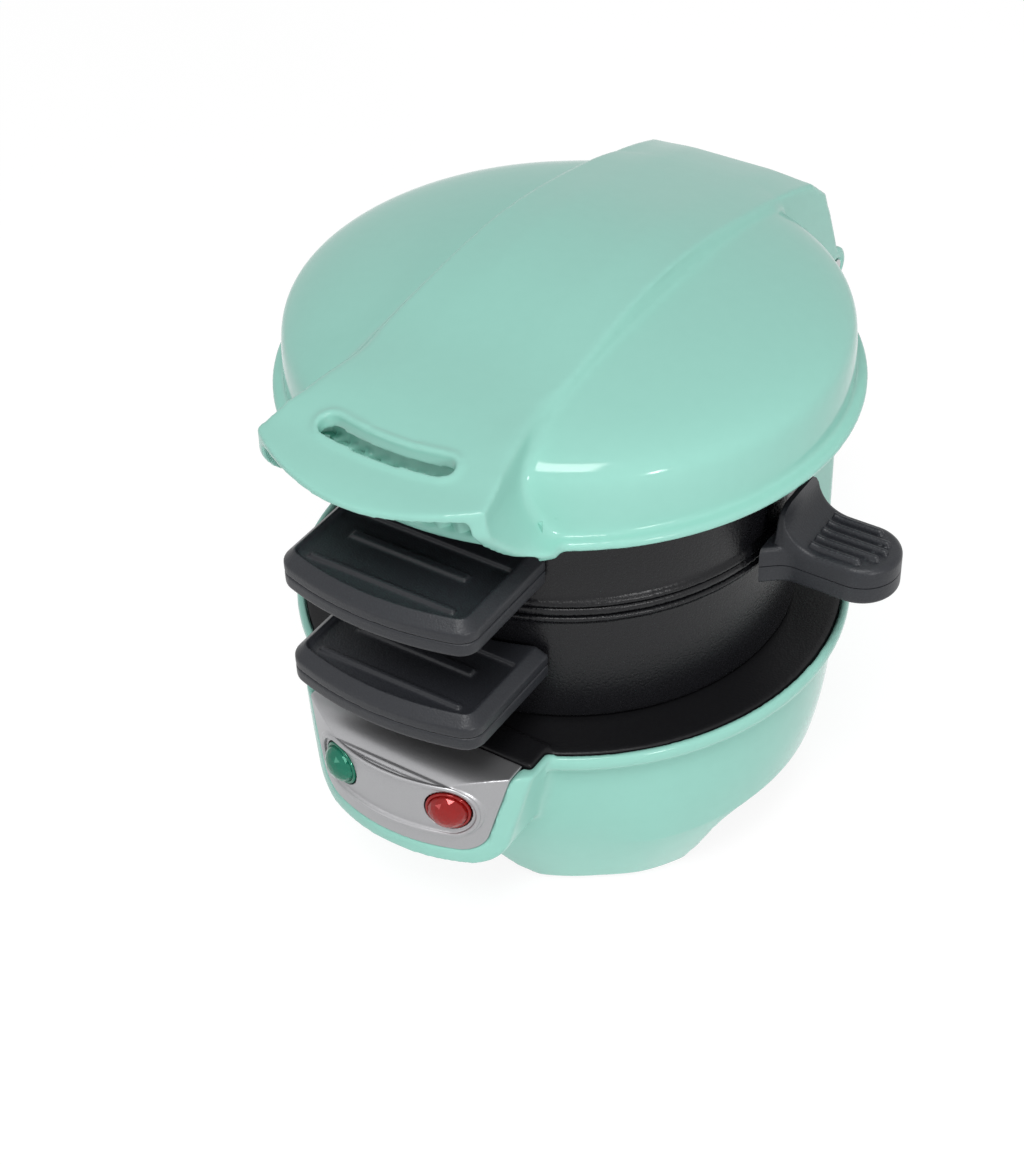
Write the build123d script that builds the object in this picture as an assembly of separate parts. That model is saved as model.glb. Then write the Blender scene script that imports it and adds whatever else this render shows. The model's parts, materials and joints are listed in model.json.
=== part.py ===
from build123d import *
import os
from math import acos, asin, atan2, cos, degrees, hypot, radians, sin

# Breakfast sandwich maker: a round base with a heating plate, two hinged muffin rings, a
# swivelling egg plate between them and a hinged lid with a second heating plate.
# Millimetres. The model is built about the upright axis of the round base, with the front
# at -Y, the egg plate's handle at +X and the floor at Z 0, and shifted when it is written.

# Overall reaches and heights
base_radius = 67.3  # rim of the base and flange of the lid
lip_reach = 85.6  # bowl axis to the front of the lid's lip
rear_reach = 104.9  # bowl axis to the back of the rear column
total_height = 147.3  # floor to the crown of the lid's strap
base_height = 57.6  # floor to the rim of the base

# Clearances
snug = 0.05  # radial clearance of pins, screws and pieces that are pushed together
parting = 0.3  # gap between pieces that part or slide when the maker moves
over = 1.0  # how far a cutter runs past a face
far = 200.0  # reach of slabs and cutters that pass everything
least_round = 0.5

# Base housing
shell_wall = 2.4
skin = 0.2  # posts inside the shell stop this far below its outer face
roof = 3.0  # thickness of the shell over the pod and the heel
rim_band = 4.6  # height of the rolled rim
rim_round = 1.6
rim_lip = 1.8  # width of the rim's top edge around the black skirt
neck_radius = 64.0  # bowl just below the rim
toe_radius = 50.4  # bowl at its bottom edge
arch_height = 11.0  # height of the arches between the legs
arch_foot_half = 18.5  # half width of an arch at the floor
arch_top_half = 8.0
leg_reach = 43.5  # bowl axis to the centre of a foot
leg_radius = 7.0
foot_radius = 5.0
foot_height = 2.4
foot_proud = 1.2  # how far the rubber feet stand out below the housing
foot_edge = 0.5
cover_gap = 1.5  # bottom cover over the tops of the arches
cover_thickness = 2.0
web_half = 3.6  # half width of the webs that take the cover's screws
web_height = 16.0
web_circle = 46.4

# Control pod on the front of the base
pod_reach = 79.4
pod_bow = 44.9  # plan radius of the pod's front
pod_half_top = 31.0
pod_half_bottom = 24.8
pod_bottom = 31.2
pod_root = 51.5  # bowl axis to where the pod ends inside the bowl
pod_wall = 2.2
pod_corner = 8.0
pod_curl = 9.0  # radius of the roll over the top edge
pod_proud = 0.4  # height of the pod above the rim
panel_thickness = 1.6
panel_half_top = 27.0
panel_half_bottom = 21.5
panel_bottom = 35.8
panel_corner = 6.5
panel_back = 65.0  # bowl axis to the rear edge of the panel's rolled top
bead_proud = 0.5
bead_width = 1.2
bead_half_length = 22.4
bead_half_height = 7.6
lens_spread = 14.7  # each lens, sideways from the middle
lens_height = 47.8
lens_radius = 5.5
lens_dome = 1.9
lens_flange = 1.4  # width and seat depth of the flange behind the wall
lens_flange_thickness = 2.0
lens_facets = 12
lamp_radius = 2.6
lamp_length = 7.0
lamp_depth = 12.5  # rear end of a lamp behind the panel
holder_half = 16.0
holder_thickness = 2.0
holder_front_y = 62.0
socket_radius = 3.6
socket_depth = 3.0

# Rear column: heel of the base and hinge tower on it
heel_half = 22.0
heel_corner = 6.0
heel_foot_spread = 13.0
heel_root = 42.4  # bowl axis to where the heel starts inside the bowl
heel_screw_y = 82.0
tower_wall = 3.0
cheek_thickness = 2.7
strap_half = 22.5  # half width of the lid's strap
lid_hinge_y = 92.0
lid_hinge_z = 100.0
knuckle_radius = 4.7
pin_radius = 2.0
ring_hinge_y = 72.0
ring_knuckle_radius = 5.0
ring_knuckle_width = 4.7
middle_knuckle_half = 6.0
tower_shoulder = 20.0  # top of the tower's back below the lid hinge
tower_round = 4.0
tower_screw_inset = 6.0
lead_hole_radius = 5.0
inlet_height = 22.0
inlet_bore = 3.6  # radius of the hole that the cord passes through
bush_wall = 2.0
bush_flange = 1.5
bush_grip = 3.0  # length of the bush inside the heel's wall
terminal_gap = 14.0  # free room between the inlet and the terminals
terminal_half = 9.0
terminal_depth = 11.0
terminal_height = 9.0
terminal_pitch = 6.0
terminal_bore = 2.0
terminal_eye = 1.5

# Skirt, heating plates and rings
skirt_thickness = 2.7
skirt_drop = 12.6  # depth of the collar below the skirt's top
collar_wall = 2.0
platform_half = 29.0
platform_rise = 1.1
platform_front_y = 56.5
ring_radius = 54.0
ring_wall = 3.0
ring_bead = 1.0
ring_bead_height = 1.5
lower_ring_height = 30.1
upper_ring_height = 25.0
lug_height = 11.0
lug_reach = 4.0  # how far a lug runs out before it bends to the hinge
lug_step = 0.5
plate_thickness = 4.0
plate_round = 0.8
plate_play = 0.7  # between a heating plate and the ring around it
boss_radius = 4.0
boss_circle = 43.0
skirt_boss_circle = 56.0
reflector_thickness = 1.0
reflector_front_y = 57.0
reflector_edge = 3.0  # reflector past the skirt's screws
heater_circle = 33.0
heater_radius = 3.3
heater_lead_radius = 2.2
heater_lead_drop = 8.0  # ends of the lower heater below the collar
heater_sweep = 320.0
heater_end_angle = 22.0  # each lead, from the rear
lead_radius = 1.2
lead_bend = 2.4
thermostat_radius = 9.0
thermostat_height = 9.0
blade_spread = 4.5
blade_thickness = 0.8
blade_width = 6.0
blade_length = 8.0
fuse_radius = 2.3
fuse_half_length = 9.0
fuse_height = 3.2
saddle_half = 4.0
saddle_width = 6.0
lower_fuse_y = -20.0
upper_fuse_y = -14.0
screw_radius = 1.5
screw_head_radius = 2.8
screw_head_height = 1.6
screw_grip = 8.0  # length of thread in a boss
screw_rest = 1.0  # depth of a screw's hole past its tip
counterbore = 3.1
counterbore_depth = 0.6

# Egg plate
egg_thickness = 2.1
egg_edge = 0.8  # how far the plate stands out past the rings
egg_handle_reach = 83.8
egg_handle_half = 8.9
egg_handle_turn = -0.5  # degrees that the handle points to the rear of +X
egg_handle_rise = 4.9  # both are measured from the parting line
egg_handle_drop = 4.9
egg_handle_edge = 1.4
egg_handle_rim = 1.3
egg_handle_sink = 1.0
egg_root_radius = 55.6  # inner face of the handle's root around the rings
egg_root_width = 5.6
egg_root_half_angle = 19.0
egg_tang_half = 5.0
egg_tang_inset = 6.8  # plate's tang ends this far before the tip of its handle
egg_screw_grip = 2.0
egg_screw_circles = (66.0, 73.5)
egg_rib_count = 5
egg_rib_pitch = 2.9
egg_rib_width = 1.3
egg_rib_margin = 7.0  # ribs end this far before the tip
guard_radius = 57.4
guard_thickness = 3.2
guard_half_angle = 9.0
guard_top = 103.5
pivot_circle = 61.0
pivot_angle = 50.0
pivot_ear = 6.0
pivot_boss_height = 12.0
pivot_head = 1.8

# Ring handles
handle_half = 24.6
handle_reach = 82.5
handle_bow = 77.0
handle_corner = 5.0
lower_seam = 75.2  # height of the parting line of the lower handle
upper_seam = 101.9
handle_rise = 5.0
handle_drop = 4.0
handle_edge = 2.5  # broad bevel round the upper shell
handle_toe = 0.9  # bevel under the lower shell
handle_rim = 3.0
handle_back_y = 58.0  # rear edge of the sunk face
handle_sink = 1.2
near_rib = (64.5, 2.2, 14.7)  # place, width and half length of a grip rib
front_rib = (74.8, 1.2, 18.4)
rib_drop = 0.3  # top of the ribs below the rim
tang_half = 9.0
tang_thickness = 2.0
tang_front_y = 72.0
handle_screw_spread = 5.5
handle_screw_y = 67.0
handle_screw_grip = 3.0

# Lid
crown_y = 4.0
brow_y = 57.0  # where the strap's top turns into the lip
brow_drop = 6.4  # each drop is measured from the crown
front_y = 39.0
front_drop = 5.0
back_y = 42.0
back_drop = 5.2
lip_drop = 14.6
tail_y = 75.6
tail_drop = 14.3
tail_shoulder_y = 83.5
tail_shoulder_drop = 20.8
tail_end_y = 91.7
tail_end_drop = 40.3
flange_thickness = 2.6
dome_radius = 64.4
dome_wall = 2.5
strap_rise = 3.8  # crown of the strap over the crown of the dome
strap_round = 2.6
cheek_round = 5.2
cheek_root = 8.0
cheek_front = 1.5  # the tail's hollow starts this far behind the dome
core_front_y = -48.0  # ends of the hollow under the strap's top
core_rear_y = 58.4
flange_round = 1.1
lip_bow = 46.0  # plan radius of the lip
lip_edge_z = 129.5  # below this height the lip's front edge runs back to the flange
lip_slope = 10.6  # how far it runs back
lip_wall = 3.4
lip_top_half = 30.0  # half width of the lip's upper face at its front
lip_root_foot = 32.0  # where the lip's sides run out on the flange, at its root and front
lip_foot_half = 38.0
lip_hip = 5.5  # height of the sides' hollow over the flange
lip_root_y = 45.0
slot_circle = 70.9
slot_width = 5.0
slot_half_angle = 11.3
slot_bead = 1.3
slot_bead_proud = 0.7
lid_rib_count = 11
lid_rib_pitch = 4.0
lid_rib_width = 2.2
lid_rib_proud = 1.8
lid_rib_height = 11.0
liner_thickness = 2.4
upper_plate_drop = 10.0  # how far the upper plate reaches into the upper ring
upper_plate_tip = 44.0  # radius of the upper plate's flat face
lid_post_radius = 3.9
lid_screw_circle = 58.2
upper_screw_circle = 52.0
upper_plate_inset = 0.6
upper_plate_flange = 54.0
upper_flange_thickness = 2.5
upper_skirt_wall = 3.0

# Heights that follow from the stack of rings and plates
lower_ring_z = base_height + parting
lower_ring_top = lower_ring_z + lower_ring_height
egg_z = lower_ring_top + parting
egg_top = egg_z + egg_thickness
upper_ring_z = egg_top + parting
upper_ring_top = upper_ring_z + upper_ring_height
lid_z = upper_ring_top + parting
flange_top = lid_z + flange_thickness
ring_hinge_z = (egg_z + egg_top) / 2
egg_seam = ring_hinge_z
egg_tang_reach = egg_handle_reach - egg_tang_inset
dome_top = total_height - strap_rise
ring_bore = ring_radius - ring_wall
skirt_top = base_height - parting
skirt_z = skirt_top - skirt_thickness
skirt_radius = base_radius - rim_lip - parting
collar_z = skirt_top - skirt_drop
plate_radius = ring_bore - plate_play
lower_plate_z = base_height - plate_thickness
heater_lead_z = collar_z - heater_lead_drop
upper_plate_z = upper_ring_top - upper_plate_drop
upper_plate_back = upper_plate_z + plate_thickness
upper_plate_outer = plate_radius - upper_plate_inset - parting
liner_top = lid_z + liner_thickness
cover_z = foot_proud + arch_height + cover_gap
cover_top = cover_z + cover_thickness
tower_half = strap_half - cheek_thickness - parting
pod_centre_y = pod_bow - pod_reach
panel_recess = panel_thickness + snug
pod_cavity = panel_recess + pod_wall
lens_seat = pod_bow - panel_recess - lens_flange
lamp_back = pod_bow - panel_recess - lamp_depth
bush_outer = inlet_bore + bush_wall
terminal_back = rear_reach - shell_wall - terminal_gap
terminal_front = terminal_back - terminal_depth
lens_turn = degrees(asin(lens_spread / pod_bow))
pivot_x = pivot_circle * cos(radians(pivot_angle))
pivot_y = pivot_circle * sin(radians(pivot_angle))
bore_radius = pin_radius + snug
BOTTOM = (Align.CENTER, Align.CENTER, Align.MIN)


# Shapes that many pieces are made of
def disc(radius, low, high, x=0.0, y=0.0):
    return Pos(x, y, low) * Cylinder(radius, high - low, align=BOTTOM)


def tube(outer, inner, low, high, x=0.0, y=0.0):
    return disc(outer, low, high, x, y) - disc(inner, low - over, high + over, x, y)


def block(x0, x1, y0, y1, z0, z1):
    box = Box(x1 - x0, y1 - y0, z1 - z0)
    return Pos((x0 + x1) / 2, (y0 + y1) / 2, (z0 + z1) / 2) * box


def rod_x(radius, x0, x1, y, z):
    return Pos(x0, y, z) * Rot(0, 90, 0) * Cylinder(radius, x1 - x0, align=BOTTOM)


def rod_y(radius, y0, y1, z):
    return Pos(0, y0, z) * Rot(-90, 0, 0) * Cylinder(radius, y1 - y0, align=BOTTOM)


def turned(*profile):
    """Solid of revolution about the bowl axis from points (radius, height)."""
    outline = Polyline(*[(r, 0, z) for r, z in profile], close=True)
    return revolve(make_face(outline), Axis.Z)


def knuckle_slab(profile, crest, x0, x1):
    """Slab seen from the side as a line through (y, z) points, closed by an arc over crest."""
    line = Polyline(*[(x0, y, z) for y, z in profile])
    arc = ThreePointArc(line @ 1, (x0, *crest), line @ 0)
    return extrude(make_face(line + arc), x1 - x0, dir=(1, 0, 0))


def around(radius, *angles):
    return [(radius * cos(radians(a)), radius * sin(radians(a))) for a in angles]


def wedge(turn, half_angle, low, high):
    """Sector about the bowl axis around the direction turn."""
    rays = around(far, turn - half_angle, turn + half_angle)
    face = make_face(Polyline((0, 0), *rays, close=True))
    return Pos(0, 0, low) * extrude(face, high - low)


def screw(x, y, seat, tip):
    """Pan-head screw: the head lies beyond its seat, the shank ends at the tip."""
    head = min(seat, seat + (seat - tip) / abs(seat - tip) * screw_head_height)
    shank = disc(screw_radius, min(seat, tip), max(seat, tip), x, y)
    return shank + disc(screw_head_radius, head, head + screw_head_height, x, y)


def screws(places, seat, tip):
    return Compound(children=[screw(x, y, seat, tip) for x, y in places])


def screw_hole(x, y, low, high):
    return disc(screw_radius + snug, low, high, x, y)


def clean(shape):
    """The shape as one solid or a compound of its solids."""
    solids = shape.solids()
    return solids[0] if len(solids) == 1 else Compound(children=list(solids))


# Base housing
def belly(inset=0.0, low=0.0):
    """Bowl outline from its toe to its neck, moved inwards by inset."""
    rise = base_height - rim_band
    spread = neck_radius - toe_radius
    heights = (0.0, 0.18, 0.36, 0.54, 0.76, 1.0)
    swell = (0.0, 0.30, 0.57, 0.78, 0.93, 1.0)
    return [
        (toe_radius + spread * s - inset, low + (rise - low) * h)
        for h, s in zip(heights, swell)
    ]


def bowl(inset, low, high):
    """Solid bowl with a smooth belly, straight from its neck up to high."""
    points = [(r, 0, z) for r, z in belly(inset, low)]
    top = points[-1][0]
    side = Spline(*points, tangents=[(0.45, 0, 1), (0.03, 0, 1)])
    close = Polyline(points[-1], (top, 0, high), (0, 0, high), (0, 0, low), points[0])
    return revolve(make_face(side + close), Axis.Z)


def arch_cutter(angle):
    """Opening with S-shaped sides between two legs."""
    top = foot_proud + arch_height
    reach = base_radius + over
    bend = (arch_foot_half + arch_top_half) / 2
    half = Spline(
        (reach, arch_foot_half, foot_proud),
        (reach, bend, (foot_proud + top) / 2),
        (reach, arch_top_half, top),
        tangents=[(0, -0.7, 0.5), (0, -1, 0.12)],
    )
    other = mirror(half, about=Plane.XZ)
    floor_run = Polyline(
        (reach, arch_foot_half, foot_proud),
        (reach, arch_foot_half, -over),
        (reach, -arch_foot_half, -over),
        (reach, -arch_foot_half, foot_proud),
    )
    crest = Line((reach, arch_top_half, top), (reach, -arch_top_half, top))
    face = make_face(half + other + floor_run + crest)
    return Rot(0, 0, angle) * extrude(face, reach - toe_radius / 2, dir=(-1, 0, 0))


def pod(inset):
    """Control pod shrunk by inset: bowed in plan, tapered in front view, rolled on top."""
    low, high = pod_bottom + inset, base_height + pod_proud - inset
    front = pod_reach - inset
    curl = pod_curl - inset
    plan = disc(pod_bow - inset, low, high, 0, pod_centre_y)
    wide, slim = pod_half_top - inset, pod_half_bottom - inset
    view = make_face(
        Polyline((-wide, 0, high), (wide, 0, high), (slim, 0, low), (-slim, 0, low), close=True)
    )
    view = fillet(view.vertices().sort_by(Axis.Z)[:2], max(pod_corner - inset, least_round))
    taper = Pos(0, -pod_root, 0) * extrude(view, front - pod_root, dir=(0, -1, 0))
    bend = (0, curl * (1 - cos(radians(45))) - front, high - curl * (1 - sin(radians(45))))
    roll = (
        Line((0, -pod_root, low), (0, -pod_root, high))
        + Line((0, -pod_root, high), (0, curl - front, high))
        + ThreePointArc((0, curl - front, high), bend, (0, -front, high - curl))
        + Line((0, -front, high - curl), (0, -front, low))
        + Line((0, -front, low), (0, -pod_root, low))
    )
    side = extrude(make_face(roll), wide + over, both=True)
    return plan & taper & side


def panel_window(extra=0.0):
    """Column along Y with the front view of the silver panel."""
    wide, slim = panel_half_top + extra, panel_half_bottom + extra
    low, high = panel_bottom - extra, base_height + 2 * pod_curl
    lean = (wide - slim) / (base_height - low)
    flare = wide + lean * (high - base_height)
    view = make_face(
        Polyline((-flare, 0, high), (flare, 0, high), (slim, 0, low), (-slim, 0, low), close=True)
    )
    view = fillet(view.vertices().sort_by(Axis.Z)[:2], panel_corner + extra)
    return Pos(0, -panel_back + extra, 0) * extrude(view, pod_reach, dir=(0, -1, 0))


def stadium(half_length, half_height):
    """Column along Y around both lenses."""
    view = Plane.XZ * SlotOverall(2 * half_length, 2 * half_height)
    return Pos(0, -panel_back, lens_height) * extrude(view, pod_reach, dir=(0, -1, 0))


def lens_axis(side):
    """Frame at the middle of the pod's bow whose -Y runs out through one lens."""
    return Pos(0, pod_centre_y, lens_height) * Rot(0, 0, side * lens_turn)


def lens_rod(side, radius, near, beyond):
    rod = Cylinder(radius, beyond - near, align=BOTTOM)
    return lens_axis(side) * Pos(0, -near, 0) * Rot(90, 0, 0) * rod


def lens_hole(side):
    return lens_rod(side, lens_radius + snug, lamp_back, pod_bow + 2 * lens_dome)


def foot_places():
    return around(leg_reach, 225, 315, 135, 45)


def heel_foot_places():
    y = rear_reach - heel_corner - foot_radius
    return [(-heel_foot_spread, y), (heel_foot_spread, y)]


def heel(inset, low, high):
    """Rear column of the base, open or closed towards the bowl."""
    half = heel_half - inset
    plan = block(-half, half, heel_root, rear_reach - inset, low, high)
    corners = plan.edges().filter_by(Axis.Z).group_by(Axis.Y)[-1]
    return fillet(corners, max(heel_corner - inset, least_round))


def cover_webs():
    """Webs on the housing's walls that take the screws of the bottom cover."""
    low, high = cover_top, cover_top + web_height
    web = block(web_circle - web_half, neck_radius, -web_half, web_half, low, high)
    inner, outer = heel_half - shell_wall - 2 * web_half, heel_half
    y0, y1 = heel_screw_y - web_half, heel_screw_y + web_half
    return [Rot(0, 0, angle) * web for angle in (0, 180, 270)] + [
        block(-outer, -inner, y0, y1, low, high),
        block(inner, outer, y0, y1, low, high),
    ]


def cover_screw_places():
    x = heel_half - shell_wall - web_half
    return around(web_circle, 0, 180, 270) + [(-x, heel_screw_y), (x, heel_screw_y)]


def tower_screw_places():
    y = (ring_hinge_y + ring_knuckle_radius + rear_reach) / 2
    return [(tower_screw_inset - tower_half, y), (tower_half - tower_screw_inset, y)]


def shell():
    """Bowl, rolled rim, pod and heel as one hollow shell."""
    band = disc(base_radius, base_height - rim_band, base_height)
    band = fillet(band.edges().filter_by(GeomType.CIRCLE), rim_round)
    outside = bowl(0, foot_proud, base_height) + band + pod(0)
    for angle in (0, 180, 270):
        outside -= arch_cutter(angle)
    outside += heel(0, foot_proud, base_height)
    inside = bowl(shell_wall, foot_proud - snug, base_height + over)
    inside = inside & disc(base_radius, 0, skirt_z)
    inside += disc(base_radius - rim_lip, skirt_z, base_height + over)
    inside += pod(pod_cavity) & disc(pod_reach, 0, base_height - 2 * roof)
    inside += heel(shell_wall, 0, base_height - roof)
    return outside - inside


def base_housing():
    housing = shell()
    ledge = platform_half + snug
    housing -= block(-ledge, ledge, -panel_back - snug, 0, skirt_z, base_height + over)
    # Foot bosses and screw webs stand on the inner faces of the shell
    hull = bowl(skin, foot_proud, base_height) + heel(skin, foot_proud, base_height)
    for x, y in foot_places() + heel_foot_places():
        housing += disc(leg_radius, foot_proud, cover_z, x, y) & hull
    for web in cover_webs():
        housing += web & hull
    # Openings for feet, screws, panel, lenses, leads and cord
    for x, y in foot_places() + heel_foot_places():
        housing -= disc(foot_radius + snug, 0, foot_height + snug, x, y)
    for x, y in cover_screw_places():
        housing -= screw_hole(x, y, cover_z, cover_top + screw_grip + screw_rest)
    for x, y in tower_screw_places():
        housing -= screw_hole(x, y, base_height - roof - over, base_height + over)
    lead_y = tower_screw_places()[0][1]
    housing -= disc(lead_hole_radius, base_height - roof - over, base_height + over, 0, lead_y)
    housing -= (pod(0) - pod(panel_recess)) & panel_window(snug)
    for side in (-1, 1):
        housing -= lens_hole(side)
        housing -= lens_rod(side, lens_radius + lens_flange + snug, lamp_back, lens_seat)
    housing -= rod_y(bush_outer + snug, rear_reach - shell_wall - over, far, inlet_height)
    rim = rear_reach - bush_flange
    return housing - rod_y(bush_outer + bush_flange + snug, rim, far, inlet_height)


def cord_inlet_bush():
    """Bush of the cord's way into the heel."""
    bush = rod_y(bush_outer, rear_reach - shell_wall - bush_grip, rear_reach, inlet_height)
    bush += rod_y(bush_outer + bush_flange, rear_reach - bush_flange, rear_reach, inlet_height)
    return bush - rod_y(inlet_bore, 0, far, inlet_height)


def control_panel():
    sheet = (pod(0) - pod(panel_thickness)) & panel_window(0)
    slimmer = stadium(bead_half_length - bead_width, bead_half_height - bead_width)
    bead = stadium(bead_half_length, bead_half_height) - slimmer
    panel = sheet + ((pod(-bead_proud) - pod(snug)) & bead)
    for side in (-1, 1):
        panel -= lens_hole(side)
    return panel


def lens(side, faceted):
    """Indicator lens: dome in front, shank through the panel, flange behind the wall."""
    body = lens_rod(side, lens_radius, lens_seat, pod_bow)
    body += lens_rod(side, lens_radius + lens_flange, lens_seat - lens_flange_thickness, lens_seat)
    if faceted:
        face = lens_axis(side) * Pos(0, -pod_bow, 0) * Rot(90, 0, 0)
        outline = RegularPolygon(lens_radius - snug, lens_facets)
        return body + face * extrude(outline, lens_dome, taper=52)
    sphere = (lens_radius**2 + lens_dome**2) / (2 * lens_dome)
    ball = lens_axis(side) * Pos(0, sphere - lens_dome - pod_bow, 0) * Sphere(sphere)
    return body + (ball & lens_rod(side, lens_radius, pod_bow, pod_bow + lens_dome))


def lamp(side):
    """Neon lamp behind one lens."""
    return lens_rod(side, lamp_radius, lamp_back, lamp_back + lamp_length)


def lamp_holder():
    """Upright board on the floor of the pod with a socket for each lamp."""
    back = holder_thickness - holder_front_y
    board = block(-holder_half, holder_half, -holder_front_y, back, pod_bottom + pod_cavity,
                  lens_height + socket_radius)
    for side in (-1, 1):
        socket = lens_rod(side, socket_radius, lamp_back - socket_radius,
                          lamp_back + socket_depth)
        board += socket & block(-far, far, -far, back - over, 0, far)
    for side in (-1, 1):
        board -= lens_rod(side, lamp_radius + snug, lamp_back, pod_bow)
    return board


# Heating plate in the base
def plate_boss_places():
    return around(boss_circle, 30, 150, 270)


def skirt_boss_places():
    return around(skirt_boss_circle, 50, 170, 290)


def base_skirt():
    """Black ring inside the base's rim, with a collar around the lower heating plate."""
    hole = plate_radius + parting
    skirt = disc(skirt_radius, skirt_z, skirt_top) + disc(hole + collar_wall, collar_z, skirt_top)
    for x, y in skirt_boss_places():
        skirt += disc(boss_radius, collar_z, skirt_top, x, y)
    step = parting - panel_back
    skirt -= block(-pod_half_top, pod_half_top, -far, step, 0, far)
    skirt += block(-platform_half, platform_half, step, -platform_front_y, skirt_z,
                   skirt_top + platform_rise)
    for x, y in skirt_boss_places():
        skirt -= screw_hole(x, y, collar_z - over, collar_z + screw_grip + screw_rest)
    return skirt - disc(hole, 0, far)


def lower_heating_plate():
    plate = disc(plate_radius, lower_plate_z, base_height)
    plate = fillet(plate.edges().group_by(Axis.Z)[-1], plate_round)
    for x, y in plate_boss_places():
        plate += disc(boss_radius, collar_z, lower_plate_z, x, y)
        plate -= screw_hole(x, y, collar_z - over, lower_plate_z)
    return plate


def heater(z, lead_z):
    """Tubular heating element: an open ring whose two ends turn off to lead_z."""
    section = Pos(heater_circle, 0, z) * Rot(90, 0, 0) * Circle(heater_radius)
    element = Rot(0, 0, 270 - heater_sweep / 2) * revolve(section, Axis.Z, heater_sweep)
    for x, y in heater_lead_places():
        element += disc(heater_lead_radius, min(z, lead_z), max(z, lead_z), x, y)
    return element


def heater_lead_places():
    return around(heater_circle, 90 + heater_end_angle, 90 - heater_end_angle)


def lower_reflector():
    """Round pan under the heater, cut straight along the control pod."""
    low = collar_z - reflector_thickness
    pan = disc(skirt_boss_circle + reflector_edge, low, collar_z)
    pan -= block(-far, far, -far, -reflector_front_y, 0, far)
    pan -= disc(thermostat_radius + over, low - over, collar_z + over)
    for x, y in plate_boss_places() + skirt_boss_places():
        pan -= screw_hole(x, y, low - over, collar_z + over)
    for x, y in heater_lead_places():
        pan -= disc(heater_lead_radius + over, low - over, collar_z + over, x, y)
    return pan


def thermostat():
    low = lower_plate_z - thermostat_height
    body = disc(thermostat_radius, low, lower_plate_z)
    for x in (-blade_spread, blade_spread):
        blade = Box(blade_thickness, blade_width, blade_length + over, align=BOTTOM)
        body += Pos(x, 0, low - blade_length) * blade
    return body


def thermal_fuse(seat, y, way):
    """Fuse in its saddle, lying on a plate's back face; way points off the plate."""
    top = seat + way * 2 * fuse_height
    saddle = block(-saddle_half, saddle_half, y - saddle_width / 2, y + saddle_width / 2,
                   min(seat, top), max(seat, top))
    return saddle + rod_x(fuse_radius, -fuse_half_length, fuse_half_length, y,
                          seat + way * fuse_height)


def bottom_cover():
    edge = shell_wall + parting
    cover = bowl(edge, foot_proud, base_height) + heel(edge, cover_z, cover_top)
    cover = cover & block(-far, far, -far, far, cover_z, cover_top)
    for x, y in cover_screw_places():
        cover -= screw_hole(x, y, cover_z - over, cover_top + over)
    return cover


def terminal_places():
    return (-terminal_pitch, 0.0, terminal_pitch)


def terminal_block():
    """Mains terminals on the bottom cover, inside the heel."""
    middle = (terminal_front + terminal_back) / 2
    body = block(-terminal_half, terminal_half, terminal_front, terminal_back, cover_top,
                 cover_top + terminal_height)
    eye_z = cover_top + terminal_height / 3
    for x in terminal_places():
        body -= disc(terminal_bore, cover_top + terminal_height / 2, far, x, middle)
        body -= Pos(x, 0, 0) * rod_y(terminal_eye, 0, far, eye_z)
    return body


def supply_leads():
    """Two insulated leads from the terminals to the ends of the lower heater."""
    z = cover_top + terminal_height / 3
    leads = []
    for (x, y), start in zip(heater_lead_places(), terminal_places()[::2]):
        path = FilletPolyline(
            (start, terminal_front, z),
            (start, terminal_front - terminal_gap, z),
            (x, y + terminal_half, z + lead_bend),
            (x, y, z + 3 * lead_bend),
            (x, y, heater_lead_z),
            radius=lead_bend,
        )
        leads.append(sweep(Plane(origin=path @ 0, z_dir=path % 0) * Circle(lead_radius), path=path))
    return Compound(children=[solid for lead in leads for solid in lead.solids()])


def foot(x, y):
    pad = disc(foot_radius, 0, foot_height, x, y)
    return chamfer(pad.edges().group_by(Axis.Z)[0], foot_edge)


def feet():
    names = ("front_left_foot", "front_right_foot", "rear_left_foot", "rear_right_foot",
             "heel_left_foot", "heel_right_foot")
    places = foot_places() + heel_foot_places()
    return {name: foot(*place) for name, place in zip(names, places)}


# Hinge tower
def touch(y, z, side):
    """Point where the line from (y, z) touches the lid hinge's knuckle."""
    dy, dz = y - lid_hinge_y, z - lid_hinge_z
    angle = atan2(dz, dy) + side * acos(knuckle_radius / hypot(dy, dz))
    return (lid_hinge_y + knuckle_radius * cos(angle), lid_hinge_z + knuckle_radius * sin(angle))


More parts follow.
